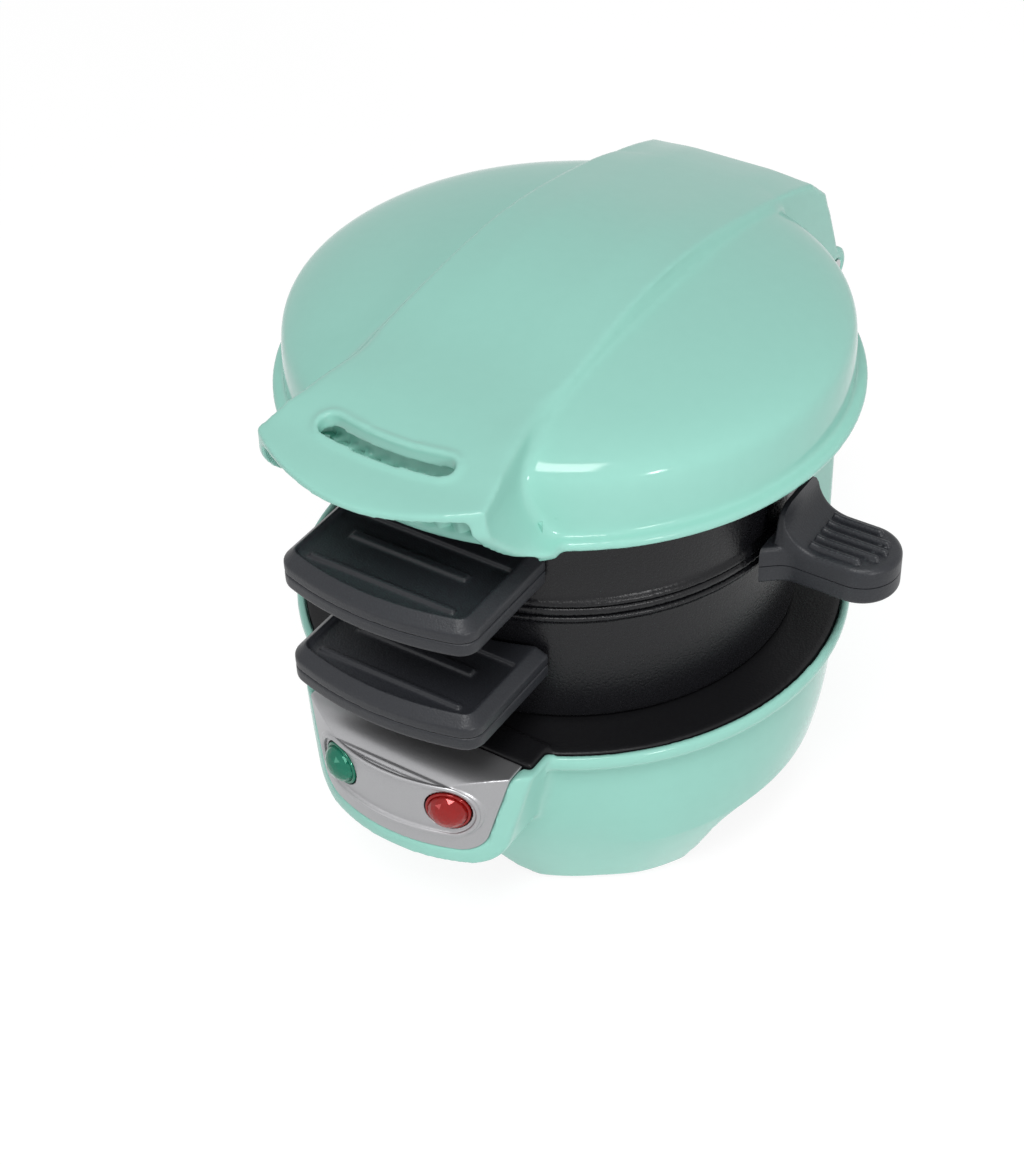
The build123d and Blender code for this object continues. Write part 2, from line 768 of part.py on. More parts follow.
def hinge_tower():
    """Hollow tower that carries the lid's knuckle and the two ears of the ring hinge."""
    k = ring_knuckle_radius
    front = ring_hinge_y + k + over
    shoulder = lid_hinge_z - tower_shoulder
    rear_top, front_top = (rear_reach, shoulder), (front, ring_hinge_z + k)
    outline = [touch(*front_top, -1), front_top, (front, base_height),
               (rear_reach, base_height), rear_top, touch(*rear_top, 1)]
    crown = (lid_hinge_y, lid_hinge_z + knuckle_radius)
    tower = knuckle_slab(outline, crown, -tower_half, tower_half)
    tower = fillet(tower.edges().filter_by(Axis.Z).group_by(Axis.Y)[-1], tower_round)
    inner = tower_half - tower_wall
    tower -= block(-inner, inner, front + tower_wall, rear_reach - tower_wall, base_height - over,
                   shoulder - over)
    for x, y in tower_screw_places():
        tower += disc(boss_radius, base_height, shoulder, x, y)
        tower -= screw_hole(x, y, base_height - over, base_height + screw_grip + screw_rest)
    arm = [(ring_hinge_y, ring_hinge_z + k), (front + over, ring_hinge_z + k),
           (front + over, ring_hinge_z - 2.4 * k), (ring_hinge_y, ring_hinge_z - k)]
    near = middle_knuckle_half + ring_knuckle_width + 2 * parting
    for x0 in (near, -near - ring_knuckle_width):
        tower += knuckle_slab(arm, (ring_hinge_y - k, ring_hinge_z), x0, x0 + ring_knuckle_width)
    tower -= rod_x(bore_radius, -far, far, ring_hinge_y, ring_hinge_z)
    return tower - rod_x(bore_radius, -far, far, lid_hinge_y, lid_hinge_z)


def lid_hinge_pin():
    return rod_x(pin_radius, -strap_half, strap_half, lid_hinge_y, lid_hinge_z)


def ring_hinge_pin():
    half = middle_knuckle_half + 2 * ring_knuckle_width + 2 * parting
    return rod_x(pin_radius, -half, half, ring_hinge_y, ring_hinge_z)


# Muffin rings
def ring_lug(z_ring, way, x0, x1):
    """Arm from a ring back to the hinge pin; way is -1 under the egg plate and 1 over it."""
    root, k = ring_bore + over, ring_knuckle_radius
    near, deep = z_ring + way * lug_step, z_ring + way * lug_height
    outline = [(ring_hinge_y, ring_hinge_z + way * k), (root, deep), (root, near),
               (ring_radius + lug_reach, near), (ring_hinge_y, ring_hinge_z - way * k)]
    return knuckle_slab(outline, (ring_hinge_y + k, ring_hinge_z), x0, x1)


def ring_tang(seam):
    """Tongue on the front of a ring that its handle is screwed around."""
    tang = block(-tang_half, tang_half, -tang_front_y, -ring_bore - over, seam - tang_thickness,
                 seam)
    for x, y in handle_screw_places():
        tang -= screw_hole(x, y, seam - handle_drop, seam + over)
    return tang


def muffin_ring(low, high, bead_z):
    ring = tube(ring_radius, ring_bore, low, high)
    return ring + tube(ring_radius + ring_bead, ring_bore, bead_z, bead_z + ring_bead_height)


def lower_ring():
    half = middle_knuckle_half
    ring = muffin_ring(lower_ring_z, lower_ring_top, lower_ring_top - ring_bead_height)
    ring += ring_lug(lower_ring_top, -1, -half, half) + ring_tang(lower_seam)
    return ring - rod_x(bore_radius, -far, far, ring_hinge_y, ring_hinge_z)


def upper_ring():
    ring = muffin_ring(upper_ring_z, upper_ring_top, upper_ring_z)
    inner = middle_knuckle_half + parting
    for x0 in (inner, -inner - ring_knuckle_width):
        ring += ring_lug(upper_ring_z, 1, x0, x0 + ring_knuckle_width)
    ring += ring_tang(upper_seam)
    boss_top = upper_ring_z + pivot_boss_height
    web = pivot_ear - over
    ring += disc(pivot_ear, upper_ring_z, boss_top, pivot_x, pivot_y)
    ring += Rot(0, 0, pivot_angle) * block(ring_bore + over, pivot_circle, -web, web,
                                           upper_ring_z, boss_top)
    ring -= disc(bore_radius, upper_ring_z - over, boss_top + over, pivot_x, pivot_y)
    return ring - rod_x(bore_radius, -far, far, ring_hinge_y, ring_hinge_z)


def egg_plate_pivot():
    """Headed pin: its head carries the plate's ear, its shank sits in the ring's boss."""
    head_top = egg_z - parting
    pin = disc(pin_radius, head_top - over, upper_ring_z + pivot_boss_height, pivot_x, pivot_y)
    return pin + disc(2 * pin_radius, head_top - pivot_head, head_top, pivot_x, pivot_y)


# Front handles of the rings
def handle_body(low, high, inset=0.0):
    """Outline of a handle with a bowed front and round front corners."""
    half = handle_half - inset
    body = block(-half, half, -handle_reach - over, 0, low, high)
    body = body & disc(handle_bow - inset, low, high, 0, handle_bow - handle_reach)
    corners = body.edges().filter_by(Axis.Z).group_by(Axis.Y)[0]
    return fillet(corners, max(handle_corner - inset, least_round))


def around_ring(shape):
    """The shape without the room that the rings take up behind a handle."""
    return shape - disc(ring_radius + ring_bead + parting, 0, far)


def handle_screw_places():
    return [(x, -handle_screw_y) for x in (-handle_screw_spread, handle_screw_spread)]


def handle_top(seam):
    """Upper shell with a broad bevel, a sunk face and two grip ribs."""
    top = seam + handle_rise
    floor = top - handle_sink
    body = handle_body(seam, top)
    body = chamfer(body.edges().group_by(Axis.Z)[-1], handle_edge)
    face = handle_body(floor, top + over, handle_rim)
    body -= face & block(-far, far, -far, -handle_back_y, 0, far)
    for y, width, half in (near_rib, front_rib):
        body += block(-half, half, -y - width / 2, width / 2 - y, floor - least_round,
                      top - rib_drop)
    for x, y in handle_screw_places():
        body -= screw_hole(x, y, seam - over, seam + handle_screw_grip)
    return around_ring(body)


def handle_bottom(seam):
    body = handle_body(seam - handle_drop, seam)
    body = chamfer(body.edges().group_by(Axis.Z)[0], handle_toe)
    pocket = tang_half + snug
    body -= block(-pocket, pocket, -tang_front_y - snug, 0, seam - tang_thickness, seam + over)
    for x, y in handle_screw_places():
        body -= screw_hole(x, y, 0, seam + over)
        body -= disc(counterbore, 0, seam - handle_drop + counterbore_depth, x, y)
    return around_ring(body)


def handle_screws(seam):
    seat = seam - handle_drop + counterbore_depth
    return screws(handle_screw_places(), seat, seam + handle_screw_grip)


# Egg plate
def egg_plate():
    plate = disc(ring_radius + egg_edge, egg_z, egg_top)
    tang = block(ring_bore, egg_tang_reach, -egg_tang_half, egg_tang_half, egg_z, egg_top)
    plate += Rot(0, 0, egg_handle_turn) * tang
    plate += disc(pivot_ear, egg_z, egg_top, pivot_x, pivot_y)
    ear = block(ring_bore, pivot_circle, -pivot_ear, pivot_ear, egg_z, egg_top)
    plate += Rot(0, 0, pivot_angle) * ear
    for x, y in egg_screw_places():
        plate -= screw_hole(x, y, egg_z - over, egg_top + over)
    return plate - disc(bore_radius, egg_z - over, egg_top + over, pivot_x, pivot_y)


def egg_screw_places():
    return [place for r in egg_screw_circles for place in around(r, egg_handle_turn)]


def egg_handle_body(low, high, inset=0.0):
    """Handle along +X with a round tip, on a root that hugs the rings."""
    half = egg_handle_half - inset
    centre = egg_handle_reach - egg_handle_half
    body = block(egg_root_radius, centre, -half, half, low, high) + disc(half, low, high, centre)
    return body


def egg_root(low, high):
    root = disc(egg_root_radius + egg_root_width, low, high)
    return root & wedge(0, egg_root_half_angle, low, high)


def around_egg_plate(shape):
    """The shape turned to the handle's place, without the room of the plate and rings."""
    return Rot(0, 0, egg_handle_turn) * (shape - disc(egg_root_radius, 0, far))


def egg_tang_pocket():
    pocket = egg_tang_half + snug
    return block(0, egg_tang_reach + snug, -pocket, pocket, egg_z, egg_top)


def egg_handle_top():
    """Upper shell with grip ribs along it and a finger guard at its root."""
    top = egg_seam + egg_handle_rise
    floor = top - egg_handle_sink
    body = egg_handle_body(egg_seam, top)
    body = chamfer(body.edges().group_by(Axis.Z)[-1], egg_handle_edge)
    body += egg_root(egg_seam, top)
    rib_start = guard_radius + guard_thickness + over
    body -= (egg_handle_body(floor, top + over, egg_handle_rim)
             & block(rib_start, far, -far, far, 0, far))
    for i in range(egg_rib_count):
        y = (i - (egg_rib_count - 1) / 2) * egg_rib_pitch - egg_rib_width / 2
        body += block(rib_start + over, egg_handle_reach - egg_rib_margin, y, y + egg_rib_width,
                      floor - least_round, top - snug)
    guard = tube(guard_radius + guard_thickness, guard_radius, egg_seam, guard_top)
    body += guard & wedge(0, guard_half_angle, 0, far)
    body = around_egg_plate(body - egg_tang_pocket())
    for x, y in egg_screw_places():
        body -= screw_hole(x, y, egg_top - over, egg_top + egg_screw_grip)
    return body


def egg_handle_bottom():
    low = egg_seam - egg_handle_drop
    body = egg_handle_body(low, egg_seam)
    body = chamfer(body.edges().group_by(Axis.Z)[0], egg_handle_edge)
    body += egg_root(low, egg_seam)
    body = around_egg_plate(body - egg_tang_pocket())
    for x, y in egg_screw_places():
        body -= screw_hole(x, y, low - over, egg_top + over)
        body -= disc(counterbore, 0, low + counterbore_depth, x, y)
    return body


def egg_handle_screws():
    seat = egg_seam - egg_handle_drop + counterbore_depth
    return screws(egg_screw_places(), seat, egg_top + egg_screw_grip)


# Lid
def dome(inset, low):
    """Solid dome moved inwards by inset, straight below its wall down to low."""
    rise = dome_top - flange_top
    scale = (dome_radius - inset) / dome_radius
    shape = ((1, 0), (0.998, 0.378), (0.992, 0.498), (0.983, 0.558), (0.96, 0.618),
             (0.885, 0.723), (0.745, 0.827), (0.528, 0.924), (0.264, 0.984), (0, 1))
    points = [(dome_radius * scale * r, 0, flange_top - inset + rise * h) for r, h in shape]
    side = Spline(*points, tangents=[(0, 0, 1), (-1, 0, 0)])
    close = Polyline(points[-1], (0, 0, low), (points[0][0], 0, low), points[0])
    return revolve(make_face(side + close), Axis.Z)


def crest(sink=0.0):
    """Top line of the strap and the lip from the side, lowered by sink: level at the crown."""
    front = ((-lip_reach, lip_drop), (-brow_y, brow_drop), (-front_y, front_drop), (crown_y, 0))
    rear = ((crown_y, 0), (back_y, back_drop), (tail_y, tail_drop))
    sides = ((front, (0, 1, 0.36), (0, 1, 0)), (rear, (0, 1, 0), (0, 1, -0.38)))
    return [
        Spline(*[(0, y, total_height - drop - sink) for y, drop in line], tangents=[start, end])
        for line, start, end in sides
    ]


def under_crest(sink, half):
    """Everything below the crest, as a slab of the given half width."""
    front, rear = crest(sink)
    close = Polyline(rear @ 1, (0, tail_y, 0), (0, -lip_reach, 0), front @ 0)
    return extrude(make_face(front + rear + close), half, both=True)


def tail(inset, half):
    """Rear end of the strap: its sloping back and the cheeks down to the hinge."""
    edge = [(tail_shoulder_y, tail_shoulder_drop), (tail_end_y, tail_end_drop)]
    back = [(0, y - inset * 0.9, total_height - drop - inset * 0.4) for y, drop in edge]
    front, rear = crest(inset)
    closing = Polyline(rear @ 1, *back, (0, lid_hinge_y, lid_hinge_z - over),
                       (0, neck_radius - cheek_root, lid_z), (0, -lip_reach, lid_z), front @ 0)
    slab = extrude(make_face(front + rear + closing), half, both=True)
    return slab & block(-far, far, 0, far, 0, far)


def strap():
    band = under_crest(0, strap_half) & block(-far, far, -lip_root_y, tail_y, lid_z, far)
    band += tail(0, strap_half)
    band += rod_x(cheek_round, -strap_half, strap_half, lid_hinge_y, lid_hinge_z)
    inner = strap_half - cheek_thickness
    front = dome_radius + cheek_front
    hollow = tail(dome_wall, inner) & block(-far, far, front, far, 0, far)
    hollow += block(-inner, inner, front, far, 0, total_height - tail_end_drop - over)
    return band - hollow


def arc_slot(width, low, high):
    arc = CenterArc((0, 0), slot_circle, 270 - slot_half_angle, 2 * slot_half_angle)
    return Pos(0, 0, low) * extrude(SlotArc(arc, width), high - low)


def lip_section(y, top, foot_x, low):
    """Front view of the lip at y: a flat top with sides that swoop out to the flange."""
    hip = (top + 0.3 * (foot_x - top), y, flange_top + lip_hip)
    swoop = Spline((foot_x, y, flange_top), hip, (top, y, total_height - lip_drop),
                   tangents=[(-1, 0, 0.1), (-0.1, 0, 1)])
    roof_line = Polyline(swoop @ 1, (top, y, far), (-top, y, far), (-top, y, (swoop @ 1).Z))
    sole = Polyline((-foot_x, y, flange_top), (-foot_x, y, low), (foot_x, y, low), swoop @ 0)
    return make_face(swoop + roof_line + mirror(swoop, about=Plane.YZ) + sole)


def lip_bill(inset, low):
    """The lip before its front is rounded: it widens from the strap to its front."""
    root = lip_section(-lip_root_y, strap_half - inset, lip_root_foot - inset, low)
    tip = lip_section(-lip_reach - over, lip_top_half - inset, lip_foot_half - inset, low)
    return loft([root, tip], ruled=True)


def lip():
    """Bill at the front of the lid: a thin hood, open underneath, with an arc slot in it."""
    centre_y = lip_bow - lip_reach
    edge = [(0, centre_y + lip_slope, lid_z), (0, centre_y, lip_edge_z)]
    hood = loft([Pos(*place) * Circle(lip_bow) for place in edge], ruled=True)
    hood += disc(lip_bow, lip_edge_z, total_height, 0, centre_y)
    hood = hood & under_crest(0, far)
    hood = hood & lip_bill(0, lid_z)
    hood -= under_crest(lip_wall, far) & lip_bill(lip_wall, 0)
    bead = arc_slot(slot_width + 2 * slot_bead, 0, far)
    bead = bead & (under_crest(-slot_bead_proud, far) - under_crest(slot_bead_proud, far))
    return hood + bead - arc_slot(slot_width, flange_top + lip_hip, far)


def lid_screw_places():
    return around(lid_screw_circle, 45, 135, 225, 315)


def lid_cover():
    """One moulding: dome, flange, strap with its cheeks, lip and the ribs behind the lip."""
    flange = disc(base_radius, lid_z, flange_top)
    flange = fillet(flange.edges().filter_by(GeomType.CIRCLE), flange_round)
    cover = dome(0, lid_z) + flange + strap() + lip()
    for i in range(lid_rib_count):
        turn = 270 + (i - (lid_rib_count - 1) / 2) * lid_rib_pitch
        rib = block(dome_radius - dome_wall / 2, dome_radius + lid_rib_proud, -lid_rib_width / 2,
                    lid_rib_width / 2, lid_z + least_round, flange_top + lid_rib_height)
        cover += Rot(0, 0, turn) * rib
    core = under_crest(dome_wall, strap_half - cheek_thickness)
    core = core & block(-far, far, core_front_y, core_rear_y, flange_top, far)
    cover -= dome(dome_wall, lid_z - over) + core
    for x, y in lid_screw_places():
        cover += disc(lid_post_radius, liner_top, dome_top, x, y) & dome(skin, lid_z)
        cover -= screw_hole(x, y, lid_z, liner_top + screw_grip + screw_rest)
    return cover - rod_x(bore_radius, -far, far, lid_hinge_y, lid_hinge_z)


def upper_plate_screw_places():
    return around(upper_screw_circle, 0, 120, 240)


def lid_liner():
    """Flat ring that closes the lid around the upper heating plate."""
    liner = tube(dome_radius - dome_wall - parting, plate_radius - upper_plate_inset, lid_z,
                 liner_top)
    for x, y in lid_screw_places():
        liner -= screw_hole(x, y, lid_z - over, liner_top + over)
        liner -= disc(counterbore, lid_z - over, lid_z + screw_head_height, x, y)
    for x, y in upper_plate_screw_places():
        liner -= screw_hole(x, y, lid_z + counterbore_depth, liner_top + over)
    return liner


def upper_heating_plate():
    """Dished plate that reaches down into the upper ring and hangs on the liner by a flange."""
    outer, flange_z = upper_plate_outer, liner_top + upper_flange_thickness
    plate = turned((0, upper_plate_z), (upper_plate_tip, upper_plate_z), (outer, lid_z),
                   (outer, liner_top), (upper_plate_flange, liner_top),
                   (upper_plate_flange, flange_z), (outer - upper_skirt_wall, flange_z),
                   (outer - upper_skirt_wall, lid_z),
                   (upper_plate_tip - upper_skirt_wall / 2, upper_plate_back),
                   (0, upper_plate_back))
    for x, y in upper_plate_screw_places():
        plate -= screw_hole(x, y, liner_top - over, flange_z + over)
    return plate


def upper_reflector():
    low = liner_top + upper_flange_thickness
    pan = disc(upper_plate_flange, low, low + reflector_thickness)
    for x, y in upper_plate_screw_places():
        pan -= screw_hole(x, y, low - over, low + reflector_thickness + over)
    for x, y in heater_lead_places():
        pan -= disc(heater_lead_radius + over, low - over, low + reflector_thickness + over, x, y)
    return pan


def pieces():
    screw_seat = collar_z - reflector_thickness
    upper_seat = liner_top + upper_flange_thickness + reflector_thickness
    lid_seat = lid_z + screw_head_height
    heater_step = heater_radius + snug
    return {
        "base_housing": base_housing(),
        "control_panel": control_panel(),
        "preheat_lens": lens(-1, True),
        "power_lens": lens(1, False),
        "preheat_lamp": lamp(-1),
        "power_lamp": lamp(1),
        "lamp_holder": lamp_holder(),
        "base_skirt": base_skirt(),
        "lower_heating_plate": lower_heating_plate(),
        "lower_heater": heater(lower_plate_z - heater_step, heater_lead_z),
        "lower_reflector": lower_reflector(),
        "lower_plate_screws": screws(plate_boss_places(), screw_seat, lower_plate_z - over),
        "skirt_screws": screws(skirt_boss_places(), screw_seat, collar_z + screw_grip),
        "thermostat": thermostat(),
        "lower_thermal_fuse": thermal_fuse(lower_plate_z, lower_fuse_y, -1),
        "terminal_block": terminal_block(),
        "supply_leads": supply_leads(),
        "cord_inlet_bush": cord_inlet_bush(),
        "bottom_cover": bottom_cover(),
        "bottom_cover_screws": screws(cover_screw_places(), cover_z, cover_top + screw_grip),
        **feet(),
        "hinge_tower": hinge_tower(),
        "hinge_tower_screws": screws(tower_screw_places(), base_height - roof,
                                     base_height + screw_grip),
        "lid_hinge_pin": lid_hinge_pin(),
        "ring_hinge_pin": ring_hinge_pin(),
        "lower_ring": lower_ring(),
        "lower_handle_top": handle_top(lower_seam),
        "lower_handle_bottom": handle_bottom(lower_seam),
        "lower_handle_screws": handle_screws(lower_seam),
        "upper_ring": upper_ring(),
        "upper_handle_top": handle_top(upper_seam),
        "upper_handle_bottom": handle_bottom(upper_seam),
        "upper_handle_screws": handle_screws(upper_seam),
        "egg_plate_pivot": egg_plate_pivot(),
        "egg_plate": egg_plate(),
        "egg_handle_top": egg_handle_top(),
        "egg_handle_bottom": egg_handle_bottom(),
        "egg_handle_screws": egg_handle_screws(),
        "lid_cover": lid_cover(),
        "lid_liner": lid_liner(),
        "upper_heating_plate": upper_heating_plate(),
        "upper_heater": heater(upper_plate_back + heater_step, liner_top + heater_lead_drop),
        "upper_reflector": upper_reflector(),
        "upper_thermal_fuse": thermal_fuse(upper_plate_back, upper_fuse_y, 1),
        "upper_plate_screws": screws(upper_plate_screw_places(), upper_seat,
                                     lid_z + counterbore_depth),
        "lid_screws": screws(lid_screw_places(), lid_seat, liner_top + screw_grip),
    }


# The origin goes to the middle of the whole part's footprint, on the floor
tip_x = (egg_handle_reach - egg_handle_half) * cos(radians(egg_handle_turn)) + egg_handle_half
shift = Pos(-(tip_x - base_radius) / 2, -(rear_reach - lip_reach) / 2, 0)
os.makedirs("parts", exist_ok=True)
for name, shape in pieces().items():
    export_step(clean(shift * shape), f"parts/{name}.step")
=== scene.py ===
import json

import bmesh
import bpy
import numpy as np
from mathutils import Euler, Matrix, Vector


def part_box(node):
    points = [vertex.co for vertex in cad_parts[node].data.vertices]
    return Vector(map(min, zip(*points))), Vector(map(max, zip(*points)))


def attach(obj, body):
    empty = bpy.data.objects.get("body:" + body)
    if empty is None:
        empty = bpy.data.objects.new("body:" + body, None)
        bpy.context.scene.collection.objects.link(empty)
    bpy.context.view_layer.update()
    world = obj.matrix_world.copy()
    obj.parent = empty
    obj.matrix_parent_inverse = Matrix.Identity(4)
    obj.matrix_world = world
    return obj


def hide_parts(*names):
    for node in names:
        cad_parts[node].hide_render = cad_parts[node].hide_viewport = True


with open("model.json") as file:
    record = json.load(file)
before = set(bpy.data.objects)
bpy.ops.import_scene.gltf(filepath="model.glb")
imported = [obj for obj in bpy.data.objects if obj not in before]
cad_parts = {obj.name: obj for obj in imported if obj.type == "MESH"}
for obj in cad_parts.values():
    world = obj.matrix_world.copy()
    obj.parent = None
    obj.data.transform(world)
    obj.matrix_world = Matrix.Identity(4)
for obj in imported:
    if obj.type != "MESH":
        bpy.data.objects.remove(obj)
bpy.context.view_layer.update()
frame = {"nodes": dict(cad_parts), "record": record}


# Studio: the place where the maker stands to be seen.
# A pale floor that runs off into white, three large soft lamps and the camera, which looks
# down on the maker from its front right. All places are metres from the middle of its feet.
scene = bpy.context.scene
scene.view_settings.view_transform = "Standard"
bowl_low, bowl_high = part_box("lower_heating_plate")
bowl_axis = np.array([(bowl_low.x + bowl_high.x) / 2, (bowl_low.y + bowl_high.y) / 2, 0.0])

lens_length = 70.06
camera_place = Vector((0.2279, -0.3594, 0.4092))
camera_target = Vector((0.0, 0.0, 0.0607))
camera_roll = -1.02
camera = bpy.data.cameras.new("camera")
camera.lens, camera.sensor_width = lens_length, 36.0
camera.shift_x, camera.shift_y = -0.0526, -0.0234
camera.clip_start, camera.clip_end = 0.01, 20.0
camera_stand = bpy.data.objects.new("camera", camera)
scene.collection.objects.link(camera_stand)
aim = (camera_target - camera_place).to_track_quat("-Z", "Y").to_matrix()
aim = aim @ Euler((0, 0, np.radians(camera_roll))).to_matrix()
camera_stand.matrix_world = aim.to_4x4()
camera_stand.location = camera_place + Vector(bowl_axis)
scene.camera = camera_stand


def soft_lamp(name, place, target, width, height, power):
    """Rectangular lamp at a place, turned to a target; power in watts."""
    lamp = bpy.data.lights.new(name, "AREA")
    lamp.shape, lamp.size, lamp.size_y, lamp.energy = "RECTANGLE", width, height, power
    stand = bpy.data.objects.new(name, lamp)
    scene.collection.objects.link(stand)
    stand.location = place
    stand.rotation_euler = (Vector(target) - Vector(place)).to_track_quat("-Z", "Y").to_euler()


soft_lamp("lamp_over", (0.28, -0.62, 1.22), (0, 0, 0.06), 0.50, 0.50, 10.8)
soft_lamp("lamp_right", (1.05, -0.60, 0.40), (0, 0, 0.06), 0.16, 0.16, 4.0)
soft_lamp("lamp_front", (-0.60, -1.20, 0.45), (0, 0, 0.06), 0.35, 0.35, 0.8)

world = bpy.data.worlds.new("studio")
scene.world = world
world.use_nodes = True
sky = world.node_tree
sky.nodes.clear()


def link(tree, start, socket, end, entry):
    """Joins an output of one shader node to an input of another."""
    tree.links.new(start.outputs[socket], end.inputs[entry])


def white_seen(tree, colour_node, lit_node):
    """Joins two shaders: camera, gloss and glass see the first, the second lights the room."""
    path = tree.nodes.new("ShaderNodeLightPath")
    seen = tree.nodes.new("ShaderNodeMath")
    seen.operation, seen.use_clamp = "ADD", True
    link(tree, path, "Is Camera Ray", seen, 0)
    link(tree, path, "Is Glossy Ray", seen, 1)
    through = tree.nodes.new("ShaderNodeMath")
    through.operation, through.use_clamp = "ADD", True
    link(tree, seen, 0, through, 0)
    link(tree, path, "Is Transmission Ray", through, 1)
    mix = tree.nodes.new("ShaderNodeMixShader")
    link(tree, through, 0, mix, "Fac")
    link(tree, lit_node, 0, mix, 1)
    link(tree, colour_node, 0, mix, 2)
    return mix


def sky_light(colour, strength):
    """Even light from all round, of a colour and a strength."""
    light = sky.nodes.new("ShaderNodeBackground")
    light.inputs["Color"].default_value = (*colour, 1)
    light.inputs["Strength"].default_value = strength
    return light


sky_out = sky.nodes.new("ShaderNodeOutputWorld")
link(sky, white_seen(sky, sky_light((1, 1, 1), 1.0), sky_light((1, 1, 1), 0.30)), 0, sky_out, 0)

floor_half = 4.0
floor_mesh = bpy.data.meshes.new("floor")
corners = np.array([(-1, -1, 0), (1, -1, 0), (1, 1, 0), (-1, 1, 0)]) * floor_half
floor_mesh.from_pydata(corners.tolist(), [], [(0, 1, 2, 3)])
floor = bpy.data.objects.new("floor", floor_mesh)
scene.collection.objects.link(floor)
floor_paper = bpy.data.materials.new("floor_paper")
floor_paper.use_nodes = True
paper = floor_paper.node_tree
paper.nodes.clear()
paper_out = paper.nodes.new("ShaderNodeOutputMaterial")
matt = paper.nodes.new("ShaderNodeBsdfDiffuse")
matt.inputs["Color"].default_value = (0.93, 0.93, 0.93, 1)
pale = paper.nodes.new("ShaderNodeBsdfDiffuse")
pale.inputs["Color"].default_value = (0.16, 0.16, 0.16, 1)
glow = paper.nodes.new("ShaderNodeEmission")
glow.inputs["Strength"].default_value = 0.9
shown = paper.nodes.new("ShaderNodeAddShader")
link(paper, pale, 0, shown, 0)
link(paper, glow, 0, shown, 1)
link(paper, white_seen(paper, shown, matt), 0, paper_out, 0)
floor_mesh.materials.append(floor_paper)


# Finishes of the moulded and cast pieces.
# Each is a grained surface: a fine noise in the object's own millimetres varies its colour
# and gloss a little and lifts its skin, as a mould, a coating or a brush leaves it.
def finish(name, colour, shade, roughness, grain, relief, metallic=0.0, clear=0.0, index=1.5,
           shine=0.5):
    """Grained material: the noise runs from shade to colour and swings the roughness a little.

    Grain is the size of the noise and relief its height, both in mm.
    """
    gloss_swing = 0.04
    material = bpy.data.materials.new(name)
    material.use_nodes = True
    tree = material.node_tree
    body = tree.nodes["Principled BSDF"]
    place = tree.nodes.new("ShaderNodeTexCoord")
    speck = tree.nodes.new("ShaderNodeTexNoise")
    speck.inputs["Scale"].default_value = 1000.0 / grain
    speck.inputs["Detail"].default_value = 3.0
    link(tree, place, "Object", speck, "Vector")
    tint = tree.nodes.new("ShaderNodeMix")
    tint.data_type = "RGBA"
    tint.inputs["A"].default_value = (*shade, 1)
    tint.inputs["B"].default_value = (*colour, 1)
    link(tree, speck, "Fac", tint, "Factor")
    tree.links.new(tint.outputs["Result"], body.inputs["Base Color"])
    rough = tree.nodes.new("ShaderNodeMapRange")
    rough.inputs["To Min"].default_value = roughness - gloss_swing
    rough.inputs["To Max"].default_value = roughness + gloss_swing
    link(tree, speck, "Fac", rough, "Value")
    link(tree, rough, "Result", body, "Roughness")
    lift = tree.nodes.new("ShaderNodeBump")
    lift.inputs["Strength"].default_value = 1.0
    lift.inputs["Distance"].default_value = relief / 1000.0
    link(tree, speck, "Fac", lift, "Height")
    link(tree, lift, "Normal", body, "Normal")
    body.inputs["Metallic"].default_value = metallic
    body.inputs["Transmission Weight"].default_value = clear
    body.inputs["IOR"].default_value = index
    body.inputs["Specular IOR Level"].default_value = shine
    return material


mint = finish("mint_gloss", (0.30, 0.61, 0.525), (0.285, 0.59, 0.505), 0.11, 3.0, 0.001,
              shine=0.35, index=1.42)
black = finish("black_grained", (0.009, 0.009, 0.010), (0.006, 0.006, 0.007), 0.38, 0.5, 0.06,
               shine=0.18)
grip = finish("grip_grained", (0.026, 0.028, 0.033), (0.016, 0.017, 0.021), 0.40, 0.45, 0.07,
              shine=0.32)
coating = finish("non_stick", (0.009, 0.009, 0.011), (0.005, 0.005, 0.006), 0.28, 0.6, 0.08,
                 shine=0.28)
silver = finish("satin_silver", (0.42, 0.42, 0.43), (0.34, 0.34, 0.35), 0.36, 0.25, 0.01,
                metallic=0.8)
green = finish("green_clear", (0.004, 0.17, 0.10), (0.003, 0.13, 0.08), 0.10, 2.0, 0.0,
               metallic=0.3)
red = finish("red_clear", (0.30, 0.006, 0.005), (0.24, 0.005, 0.004), 0.10, 2.0, 0.0,
             metallic=0.3)
steel = finish("plated_steel", (0.60, 0.60, 0.60), (0.5, 0.5, 0.5), 0.3, 0.3, 0.01, metallic=1.0)
bright = finish("bright_sheet", (0.8, 0.8, 0.8), (0.72, 0.72, 0.72), 0.25, 0.8, 0.01,
                metallic=1.0)
rubber = finish("rubber", (0.03, 0.03, 0.03), (0.02, 0.02, 0.02), 0.75, 0.4, 0.05)
ivory = finish("ivory_plastic", (0.72, 0.69, 0.62), (0.66, 0.63, 0.56), 0.5, 0.6, 0.03)
glass = finish("lamp_glass", (0.9, 0.75, 0.6), (0.85, 0.7, 0.55), 0.05, 2.0, 0.0, clear=0.9)

